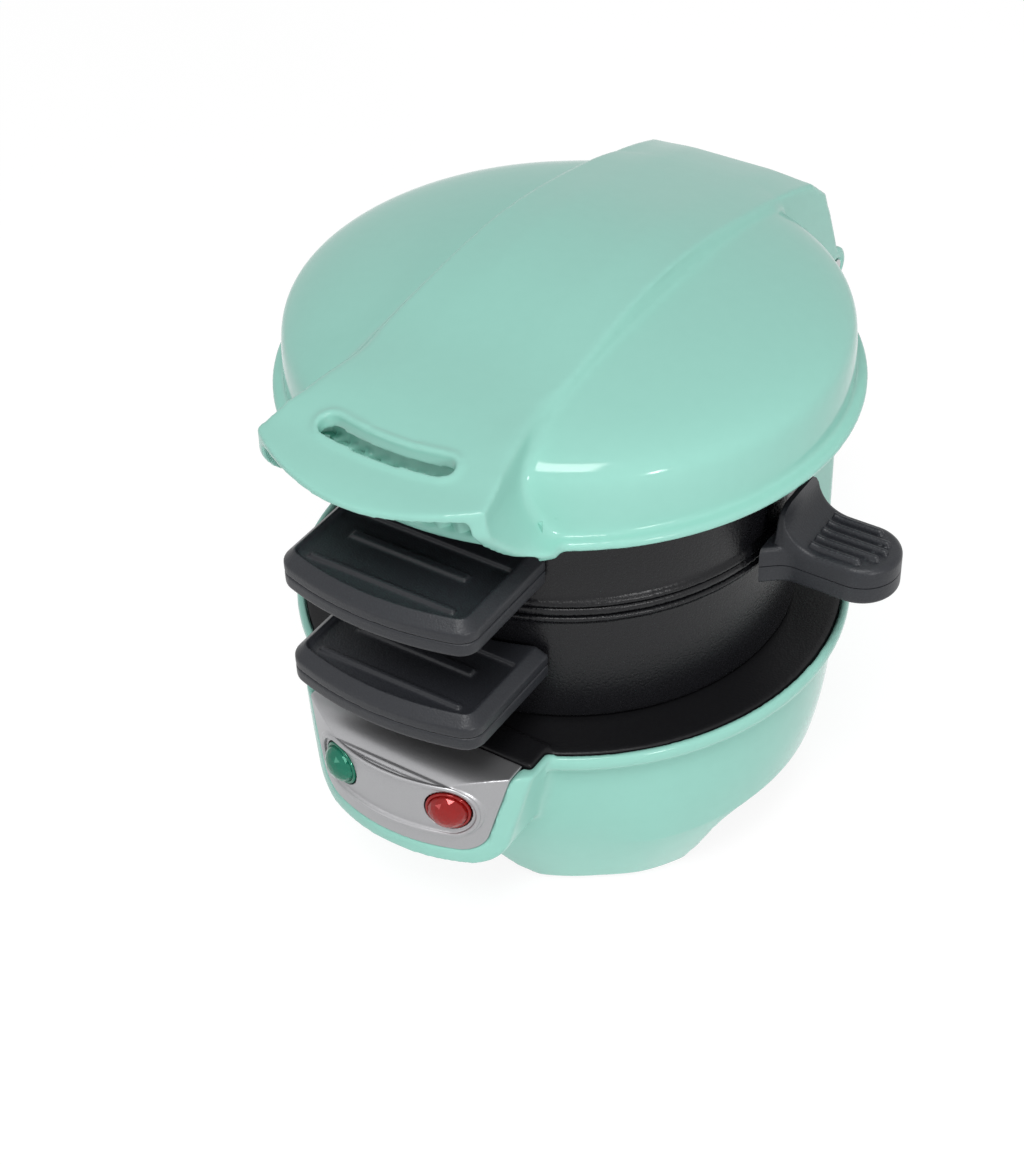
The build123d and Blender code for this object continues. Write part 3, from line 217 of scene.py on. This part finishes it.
nodes_by_finish = {
    mint: ["base_housing", "lid_cover"],
    black: ["base_skirt", "hinge_tower", "bottom_cover", "lid_liner", "cord_inlet_bush"],
    grip: ["lower_handle_top", "lower_handle_bottom", "upper_handle_top", "upper_handle_bottom",
           "egg_handle_top", "egg_handle_bottom"],
    coating: ["lower_ring", "upper_ring", "egg_plate", "lower_heating_plate",
              "upper_heating_plate"],
    silver: ["control_panel"],
    green: ["preheat_lens"],
    red: ["power_lens"],
    steel: ["lid_hinge_pin", "ring_hinge_pin", "egg_plate_pivot", "lower_heater", "upper_heater"],
    bright: ["lower_reflector", "upper_reflector"],
    ivory: ["lamp_holder", "terminal_block", "supply_leads"],
    glass: ["preheat_lamp", "power_lamp"],
}
for node, piece in frame["nodes"].items():
    found = [material for material, names in nodes_by_finish.items() if node in names]
    default = rubber if node.endswith("foot") else steel
    piece.data.materials.clear()
    piece.data.materials.append(found[0] if found else default)


# Lid cover: one glossy mint moulding of dome, strap, lip and cheeks, which swings with the lid.
# It is a softened copy of its solid. The strap is crowned, its foot runs out on the dome, and
# the lip is thinned at its front. Sizes are in mm about the bowl's axis.
def moulded(node, name, cube, passes, reshape=None, most=180000, cutter=None, melt=None):
    """Copy of a node with its edges rounded, as a mould, a die or a coating leaves them.

    The merged copy is filled with cubes of the given size in mm. Each point of their skin then
    moves half way to the mean of its neighbours, passes times: edges are rounded over about
    cube * sqrt(passes) / 2 mm, and broad faces stay where they are. A reshape takes and gives
    the points in mm about the bowl's axis; a cutter is taken out before the filling; melt gives
    each point's share, 0 to 1, in 60 further passes, which turn a sharp inner corner into a
    broad fillet.
    """
    source = frame["nodes"][node]
    mesh = source.data.copy()
    work = bmesh.new()
    work.from_mesh(mesh)
    bmesh.ops.remove_doubles(work, verts=work.verts, dist=2e-6)
    work.to_mesh(mesh)
    work.free()
    piece = bpy.data.objects.new(name, mesh)
    scene.collection.objects.link(piece)
    if cutter:
        cut = piece.modifiers.new("cut", "BOOLEAN")
        cut.operation, cut.solver, cut.object = "DIFFERENCE", "EXACT", cutter
    fill = piece.modifiers.new("fill", "REMESH")
    fill.mode, fill.voxel_size = "VOXEL", cube / 1000
    seen = piece.evaluated_get(bpy.context.evaluated_depsgraph_get())
    skinned = bpy.data.meshes.new_from_object(seen)
    piece.modifiers.clear()
    piece.data = skinned
    size = len(skinned.vertices)
    points = np.empty(size * 3)
    skinned.vertices.foreach_get("co", points)
    points = points.reshape(-1, 3)
    edges = np.empty(len(skinned.edges) * 2, int)
    skinned.edges.foreach_get("vertices", edges)
    start, end = edges.reshape(-1, 2).T
    count = np.bincount(edges, minlength=size)[:, None]
    half = np.full((size, 1), 0.5)
    for turn in range(passes + (60 if melt else 0)):
        if turn == passes:
            half = 0.5 * melt(*((points - bowl_axis) * 1000).T)[:, None]
        total = np.stack([np.bincount(start, points[end, axis], size)
                          + np.bincount(end, points[start, axis], size)
                          for axis in range(3)], 1)
        points += (total / count - points) * half
    if reshape:
        points = reshape((points - bowl_axis) * 1000) / 1000 + bowl_axis
    skinned.vertices.foreach_set("co", points.ravel())
    skinned.update()
    if len(skinned.polygons) * 2 > most:
        thin = piece.modifiers.new("thin", "DECIMATE")
        thin.ratio = most / (len(skinned.polygons) * 2)
        seen = piece.evaluated_get(bpy.context.evaluated_depsgraph_get())
        skinned = bpy.data.meshes.new_from_object(seen)
        piece.modifiers.clear()
        piece.data = skinned
    skinned.shade_smooth()
    skinned.materials.clear()
    skinned.materials.append(source.data.materials[0])
    bodies = frame["record"]["behaviour"]["bodies"]
    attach(piece, next(body for body, nodes in bodies.items() if node in nodes))
    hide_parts(node)


def smooth_line(points, steps, start=None, end=None):
    """Cubic spline through points at even steps of chord length; start and end are directions.

    The second derivatives solve the usual three-term equations; a free end has none.
    """
    points = np.array(points, float)
    along = np.r_[0.0, np.cumsum(np.linalg.norm(np.diff(points, axis=0), axis=1))]
    gap = np.diff(along)[:, None]
    slope = np.diff(points, axis=0) / gap
    size = len(points)
    terms, right = np.eye(size), np.zeros_like(points)
    inner = np.arange(1, size - 1)
    terms[inner, inner - 1], terms[inner, inner + 1] = gap[:-1, 0], gap[1:, 0]
    terms[inner, inner] = 2 * (gap[:-1, 0] + gap[1:, 0])
    right[1:-1] = 6 * (slope[1:] - slope[:-1])
    if start is not None:
        terms[0, :2] = 2 * gap[0, 0], gap[0, 0]
        right[0] = 6 * (slope[0] - np.array(start) / np.linalg.norm(start))
    if end is not None:
        terms[-1, -2:] = gap[-1, 0], 2 * gap[-1, 0]
        right[-1] = 6 * (np.array(end) / np.linalg.norm(end) - slope[-1])
    bend = np.linalg.solve(terms, right)
    at = np.linspace(0, along[-1], steps)
    span = np.clip(np.searchsorted(along, at, side="right") - 1, 0, size - 2)
    left, room = (at - along[span])[:, None], gap[span]
    return (points[span] + left * (slope[span] - room * (2 * bend[span] + bend[span + 1]) / 6)
            + left**2 * bend[span] / 2 + left**3 * (bend[span + 1] - bend[span]) / (6 * room))


def soft(value, low, high):
    """0 below low, 1 above high, and a smooth S between."""
    share = np.clip((value - low) / (high - low), 0, 1)
    return share * share * (3 - 2 * share)


dome_line = smooth_line([(0, 143.5), (17, 143.1), (34, 141.6), (48, 139.2), (57, 136.6),
                         (61.8, 134), (63.3, 132.5), (63.9, 131), (64.3, 128), (64.4, 118.6)],
                        200, start=(1, 0), end=(0, -1))
crest_line = np.vstack([
    smooth_line([(-85.6, 132.7), (-57, 140.9), (-39, 142.3), (4, 147.3)], 200, (1, 0.36), (1, 0)),
    smooth_line([(4, 147.3), (42, 142.1), (75.6, 133.0)], 200, (1, 0), (1, -0.38))[1:]])


crown_share, crown_height = 0.22, 4
strap_half, foot_reach, foot_lean = 22.5, 34, 0.9
lip_under = [-1, 0, 3.4, 11]
lip_rise = [1.8, 1.8, 3.3, 0]


def lid_form(points):
    """Crowns the strap, leans its sides out to the dome and thins and lifts the lip's edge.

    Towards the strap's edges its height over the dome shrinks by crown_share of itself, counted
    up to crown_height. Its foot moves out by up to foot_lean. At the lip's front the points
    rise by lip_rise, which goes by how far they lie under the top line: the underside rises
    more than the top, so the lip grows thinner. All changes fade out along the strap.
    """
    x, y, z = points.T
    dome_z = np.interp(np.hypot(x, y), *dome_line.T)
    over = z - dome_z
    front = soft(y, -64, -40)
    side = np.abs(x)
    fall = (crown_share * np.clip(over, 0, crown_height) * soft(side, 9, strap_half)
            * (1 - soft(side, 24, 27)) * front)
    lean = (foot_lean * soft(side, 16, strap_half) * (1 - soft(side, strap_half, foot_reach))
            * (1 - soft(over, 0.3, 3.6)) * front * (1 - soft(y, 52, 62)))
    under = np.interp(y, *crest_line.T) - z
    rise = np.interp(under, lip_under, lip_rise)
    lift = rise * (1 - soft(y, -84, -71))
    return np.stack([x + np.sign(x) * lean, y, z - fall + lift], 1)


def lid_melt(x, y, z):
    """The valleys beside the strap's foot and where the lip's sides run out on the dome."""
    foot = soft(np.abs(x), 19, 24) * (1 - soft(np.abs(x), 40, 48)) * soft(z, 118.5, 121)
    front = 1 - soft(y, -48, -34)
    return foot * front * (1 - soft(-y, 62, 68))


moulded("lid_cover", "seen_lid_cover", 0.45, 12, lid_form, melt=lid_melt)


# Fluted wall under the lip: mint, half-round ribs side by side on a thin curved wall that
# stands on the flange. It is moulded with the cover and falls away at both ends.
def ring_faces(rows, columns, closed=False):
    """Quads of a grid of points whose rows run round; closed joins the last row to the first."""
    index = np.arange(rows * columns).reshape(rows, columns)
    if closed:
        index = np.vstack([index, index[:1]])
    index = np.hstack([index, index[:, :1]])
    quads = np.stack([index[:-1, :-1], index[1:, :-1], index[1:, 1:], index[:-1, 1:]], -1)
    return quads.reshape(-1, 4).tolist()


def outward_mesh(name, points, faces, weld=0.0, sliver=0.0, triangles=False):
    """Mesh of points in mm about the bowl's axis, with its faces turned outward.

    Points closer than weld become one and edges shorter than sliver go, both in metres.
    """
    mesh = bpy.data.meshes.new(name)
    mesh.from_pydata((points.reshape(-1, 3) / 1000 + bowl_axis).tolist(), [], faces)
    work = bmesh.new()
    work.from_mesh(mesh)
    if weld:
        bmesh.ops.remove_doubles(work, verts=work.verts, dist=weld)
        bmesh.ops.dissolve_degenerate(work, edges=work.edges, dist=sliver)
    if triangles:
        bmesh.ops.triangulate(work, faces=work.faces)
    bmesh.ops.recalc_face_normals(work, faces=work.faces)
    work.to_mesh(mesh)
    work.free()
    return mesh


def set_out(name, mesh, material):
    """Gives a mesh its material and sets it in the scene."""
    mesh.materials.append(material)
    piece = bpy.data.objects.new(name, mesh)
    scene.collection.objects.link(piece)
    return piece


flute_end, flute_fall_start = 27, 19  # degrees from the middle of the lip
flute_foot, flute_top, flute_fall = 117.6, 128.6, 6.0
flute_back, flute_wall, flute_proud, flute_pitch = 64.5, 65.4, 1.4, 4.0

turn = np.radians(np.linspace(-flute_end, flute_end, 325))[:, None]
rise = flute_top - flute_fall * soft(np.abs(np.degrees(turn)), flute_fall_start, flute_end)
proud = flute_wall + flute_proud * np.abs(np.cos(np.degrees(turn) * np.pi / flute_pitch))
back = np.full_like(turn, flute_back)
foot = np.full_like(turn, flute_foot)
radius = np.hstack([back, back, proud, proud])
height = np.hstack([foot, rise, rise, foot])
points = np.stack([radius * np.sin(turn), -radius * np.cos(turn), height], -1)
last = 4 * len(turn) - 1
ends = [[0, 1, 2, 3], [last, last - 1, last - 2, last - 3]]
mesh = outward_mesh("lip_flutes", points, ring_faces(len(turn), 4) + ends)
lip_flutes = set_out("lip_flutes", mesh, mint)
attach(lip_flutes, "lid_body")
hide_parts("lid_cover")


# Base housing: the glossy mint bowl with its rim, legs, front pod and heel, in one moulding.
# It is a softened copy of its solid, with its two side arches cut wider and the bowl filled
# out. Sizes are in mm about the bowl's axis.
def arch_cutters():
    """Two round-shouldered arches between the legs, left and right, as one cutter.

    Each is the outline of half widths at heights, carried sideways through the bowl's wall.
    """
    half = np.array([24.0, 23.4, 22.8, 22.5, 22.0, 20.8, 18.8, 15.5, 8.0])
    tall = np.array([-4.0, 1.2, 5.0, 14.0, 17.0, 19.0, 20.3, 20.9, 21.0])
    arch = np.stack([np.r_[half, -half[::-1]], np.r_[tall, tall[::-1]]], 1)
    sideways = np.array([38.0, 75.0])
    x, y = np.broadcast_arrays(sideways[:, None], arch[None, :, 0])
    ring = np.stack([x, y, np.broadcast_to(arch[None, :, 1], x.shape)], -1).reshape(-1, 3)
    points = np.concatenate([ring, ring * (-1, -1, 1)])
    size = len(arch)
    here = np.arange(size)
    walls = np.stack([here, np.roll(here, -1), np.roll(here, -1) + size, here + size], 1)
    faces = []
    for first in (0, 2 * size):
        faces += (walls + first).tolist()
        faces += [(here[::-1] + first).tolist(), (here + first + size).tolist()]
    cutter = bpy.data.objects.new("arch_cutters", outward_mesh("arch_cutters", points, faces))
    scene.collection.objects.link(cutter)
    return cutter


def bowl_share(x, y):
    """1 on the round bowl, 0 on the pod in front and on the heel behind, by the bearing."""
    bearing = np.degrees(np.arctan2(x, -y))
    return soft(np.abs(bearing), 36, 52) * (1 - soft(np.abs(bearing), 138, 152))


def base_form(points):
    """Fills the bowl out by up to 2.2 mm at a third of its height, less at its toe."""
    x, y, z = points.T
    radius = np.hypot(x, y)
    level, fuller = [0, 10, 22, 28, 39, 50], [1.0, 1.6, 2.2, 1.5, 0.6, 0.0]
    out = np.interp(z, level, fuller)
    grow = 1 + out * bowl_share(x, y) * soft(radius, 36, 46) / np.maximum(radius, 1)
    return np.stack([x * grow, y * grow, z], 1)


def base_melt(x, y, z):
    """The corners where the pod's sides meet the bowl, below the rim."""
    bearing = np.abs(np.degrees(np.arctan2(x, -y)))
    radius = np.hypot(x, y)
    return (soft(bearing, 22, 28) * (1 - soft(bearing, 42, 50)) * (1 - soft(z, 48, 52))
            * soft(z, 4, 10) * soft(radius, 50, 54))


cutters = arch_cutters()
moulded("base_housing", "seen_base_housing", 0.55, 8, base_form, cutter=cutters, melt=base_melt)
bpy.data.objects.remove(cutters)


# Moulded handles, skirt and tower, cast rings and plates, and the pressed control panel.
# Each is its solid with the edges softened: the finer the piece, the finer the cubes in mm
# and the fewer the passes.
for node, cube, passes in (
        ("base_skirt", 0.5, 4), ("hinge_tower", 0.5, 4), ("lower_handle_top", 0.3, 5),
        ("lower_handle_bottom", 0.3, 5), ("upper_handle_top", 0.3, 5),
        ("upper_handle_bottom", 0.3, 5), ("lower_ring", 0.45, 5), ("upper_ring", 0.45, 5),
        ("egg_plate", 0.5, 3), ("control_panel", 0.22, 4), ("lower_heating_plate", 0.6, 3)):
    moulded(node, "seen_" + node, cube, passes, most=120000)


# Lamp lenses: two clear faceted domes pressed through the panel from behind, green to the left
# and red to the right, each in a round bezel of its own colour. The panel's face is a cylinder
# about the pod's centre, and the places are in mm about the bowl's axis.
pod_centre, panel_face = -34.5, 44.9
lens_out, lens_level, lens_round, lens_rise = 14.7, 47.8, 4.7, 3.0
lens_sunk, lens_back, facet_rows, facet_columns = 0.4, 1.5, 5, 14
for side, node, clear in ((-1, "preheat_lens", green), (1, "power_lens", red)):
    lean = np.arcsin(side * lens_out / panel_face)
    ahead = np.array([np.sin(lean), -np.cos(lean), 0])
    across, up = np.array([np.cos(lean), np.sin(lean), 0]), np.array([0, 0, 1.0])
    seat = np.array([0, pod_centre, lens_level]) + ahead * (panel_face - lens_sunk)
    climb = np.linspace(0, np.pi / 2, facet_rows + 1)[:, None]
    stagger = 0.5 * (np.arange(facet_rows + 1)[:, None] % 2)
    turn = (np.arange(facet_columns)[None, :] + stagger) * 2 * np.pi / facet_columns
    wide = lens_round * np.cos(climb) * np.ones_like(turn)
    tall = (lens_rise + lens_sunk) * np.sin(climb) * np.ones_like(turn)
    grid = (seat + wide[..., None] * (np.cos(turn)[..., None] * across
            + np.sin(turn)[..., None] * up) + tall[..., None] * ahead)
    back = grid[:1] - lens_back * ahead
    grid = np.concatenate([np.broadcast_to(seat - lens_back * ahead, back.shape), back, grid])
    mesh = outward_mesh("seen_" + node, grid, ring_faces(*grid.shape[:2]), weld=5e-7,
                        sliver=5e-7, triangles=True)
    lens = set_out("seen_" + node, mesh, clear)
    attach(lens, "base")
    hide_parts(node)


def ring_piece(name, points, material, node):
    """Closed ring made of a grid of points in mm: round its path and round its section."""
    mesh = outward_mesh(name, points, ring_faces(*points.shape[:2], closed=True))
    mesh.shade_smooth()
    piece = set_out(name, mesh, material)
    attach(piece, "base")
    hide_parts(node)


# The bezel's section, as places out from the lens's middle and up from the panel's face.
bezel = np.array([(5.3, -1.2), (5.3, 0.0), (5.1, 0.25), (4.7, 0.25), (4.5, 0.0), (4.4, -1.2)])
bezel_out, bezel_up = bezel.T[:, None]
around = np.linspace(0, 2 * np.pi, 64, endpoint=False)[:, None]
for side, node, clear in ((-1, "preheat_lens", green), (1, "power_lens", red)):
    bend = np.arcsin(side * lens_out / panel_face) + bezel_out * np.cos(around) / panel_face
    ring_piece("bezel_" + node, np.stack(
        [(panel_face + bezel_up) * np.sin(bend),
         pod_centre - (panel_face + bezel_up) * np.cos(bend),
         lens_level + bezel_out * np.sin(around)], -1), clear, node)


# Raised bead round both lenses: satin silver like the panel's sheet, on which it lies. It is a
# round bar bent to a flat oval, two straights and two half circles, and laid on the panel's
# cylinder. The walk runs along the top, round the left end, back below and round the right end.
bead_half_length, bead_half_height = 22.4, 7.6
bead_round, bead_inset, bead_lift = 0.6, 0.5, 0.25
straight, quarter = bead_half_length - bead_half_height, np.pi * bead_half_height
walk = (np.linspace(0, 1, 240, endpoint=False)[:, None]
        * (4 * straight + 2 * np.pi * bead_half_height))
on_top = walk < 2 * straight
at_left = (walk >= 2 * straight) & (walk < 2 * straight + quarter)
on_bottom = (walk >= 2 * straight + quarter) & (walk < 4 * straight + quarter)
angle = np.where(at_left, np.pi / 2 + (walk - 2 * straight) / bead_half_height,
                 -np.pi / 2 + (walk - 4 * straight - quarter) / bead_half_height)
angle = np.where(on_top, np.pi / 2, np.where(on_bottom, 3 * np.pi / 2, angle))
middle = np.where(on_top, straight - walk,
                  np.where(at_left, -straight,
                           np.where(on_bottom, walk - 3 * straight - quarter, straight)))
turn = np.linspace(0, 2 * np.pi, 14, endpoint=False)[None]
reach = bead_half_height - bead_inset + bead_round * np.cos(turn)
bend = (middle + reach * np.cos(angle)) / panel_face
proud = panel_face + bead_lift + bead_round * np.sin(turn)
ring_piece("panel_bead", np.stack([proud * np.sin(bend), pod_centre - proud * np.cos(bend),
                                   lens_level + reach * np.sin(angle)], -1),
           silver, "control_panel")


# Side handle of the egg plate: two grained black shells screwed together round the plate's
# tang. The upper one rises at its root into a curved guard that keeps fingers off the rings,
# and carries five grip ribs that end along its round tip.
turn = np.radians(-0.5)
handle_out = np.array([np.cos(turn), -np.sin(turn), 0])
handle_across = np.array([np.sin(turn), np.cos(turn), 0])
grip_half, grip_tip, grip_seam, ring_face = 8.9, 83.8, 89.35, 56.0
grip_rise, seam_gap = 4.9, 0.12
rib_lines = (np.arange(5) - 2) * 2.9
rib_inset, rib_start, rib_half, rib_height = 2.6, 65.5, 0.85, 1.15
guard_height, guard_out, guard_in, guard_shoulder = 9.4, 68.0, 59.4, 4.2
tip_centre = grip_tip - grip_half


def shell_grid(height_at, seam):
    """Closed shell over a tongue-shaped outline: rows out to the round tip, columns across.

    A row's half width is the tongue's, widened near the ring by a fillet. height_at gives the
    face's height from the place out, the place across and the distance to the outline; the
    sides drop straight to the seam.
    """
    straight = np.linspace(ring_face, tip_centre, 90)
    round_off = tip_centre + grip_half * np.sin(np.radians(np.linspace(0, 90, 40)[1:]))
    out = np.r_[straight, round_off]
    half = np.where(out < tip_centre, grip_half,
                    np.sqrt(np.clip(grip_half**2 - (out - tip_centre)**2, 0, None)))
    half = half + 4.5 * (1 - soft(out, ring_face - 2, 63.5))**1.5
    steps = np.linspace(-1, 1, 97)
    share = np.sin(steps * np.pi / 2) * 0.35 + steps * 0.65
    across = share[None, :] * half[:, None]
    along = np.broadcast_to(out[:, None], across.shape)
    beyond = np.hypot(np.clip(along - tip_centre, 0, None), across)
    inset = np.where(along > tip_centre, grip_half - beyond, half[:, None] - np.abs(across))
    inset = np.clip(inset, 0, None)
    height = height_at(along, across, inset)
    wall = [np.stack([along[:, side], across[:, side], np.full(len(out), seam)], -1)[:, None]
            for side in (0, -1)]
    face = np.stack([along, across, height], -1)
    grid = np.concatenate([wall[0], face, wall[1]], 1)
    root = grid[:1].copy()
    root[..., 2] = seam
    grid = np.concatenate([root, grid])
    place = (grid[..., :1] * handle_out + grid[..., 1:2] * handle_across
             + grid[..., 2:] * (0, 0, 1))
    return place, ring_faces(*grid.shape[:2])


def rounded(inset, radius):
    """How far a face drops within a radius of its outline: a quarter round."""
    left = np.clip(radius - inset, 0, radius)
    return radius - np.sqrt(radius**2 - left**2)


def upper_face(along, across, inset):
    """Flat face over the seam with half-round ribs and the guard's hollow sweep.

    A rib's height is a half ellipse of the distance to its line. The guard rises towards the
    ring as a hollow curve, and its shoulders are quarter rounds.
    """
    flat = grip_seam + grip_rise - rounded(inset, 1.6)
    ribs = np.zeros_like(flat)
    for line in rib_lines:
        end = 74.9 + np.sqrt(np.clip((grip_half - rib_inset)**2 - line**2, 0, None)) - 1.0
        gone = np.hypot(np.clip(along - end, 0, None) + np.clip(rib_start - along, 0, None),
                        across - line)
        ribs = np.maximum(ribs, rib_height * np.sqrt(np.clip(1 - (gone / rib_half)**2, 0, None)))
    sweep = np.clip((guard_out - along) / (guard_out - guard_in), 0, 1)
    crown = guard_height * (1 - np.sqrt(np.clip(1 - sweep**2, 0, None)) ** 0.8)
    far_out = np.clip(np.abs(across) - 4.4, 0, guard_shoulder)
    crown = np.minimum(crown, guard_height - guard_shoulder
                       + np.sqrt(guard_shoulder**2 - far_out**2))
    lobe = 1 - soft(np.abs(across), 8.4, 9.1)
    return flat + ribs * (sweep <= 0.35) + crown * lobe * soft(along, 57.4, 58.2)


def lower_face(along, across, inset):
    """Flat underside below the seam, rounded at its edge."""
    return grip_seam - grip_rise + rounded(inset, 1.4)


for node, face, seam in (("egg_handle_top", upper_face, grip_seam + seam_gap),
                         ("egg_handle_bottom", lower_face, grip_seam - seam_gap)):
    points, quads = shell_grid(face, seam)
    mesh = outward_mesh("seen_" + node, points, quads, weld=2e-6, sliver=1e-6)
    mesh.shade_smooth()
    mesh.set_sharp_from_angle(angle=np.radians(50))
    shell_piece = set_out("seen_" + node, mesh, grip)
    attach(shell_piece, "egg_plate_body")
    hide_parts(node)
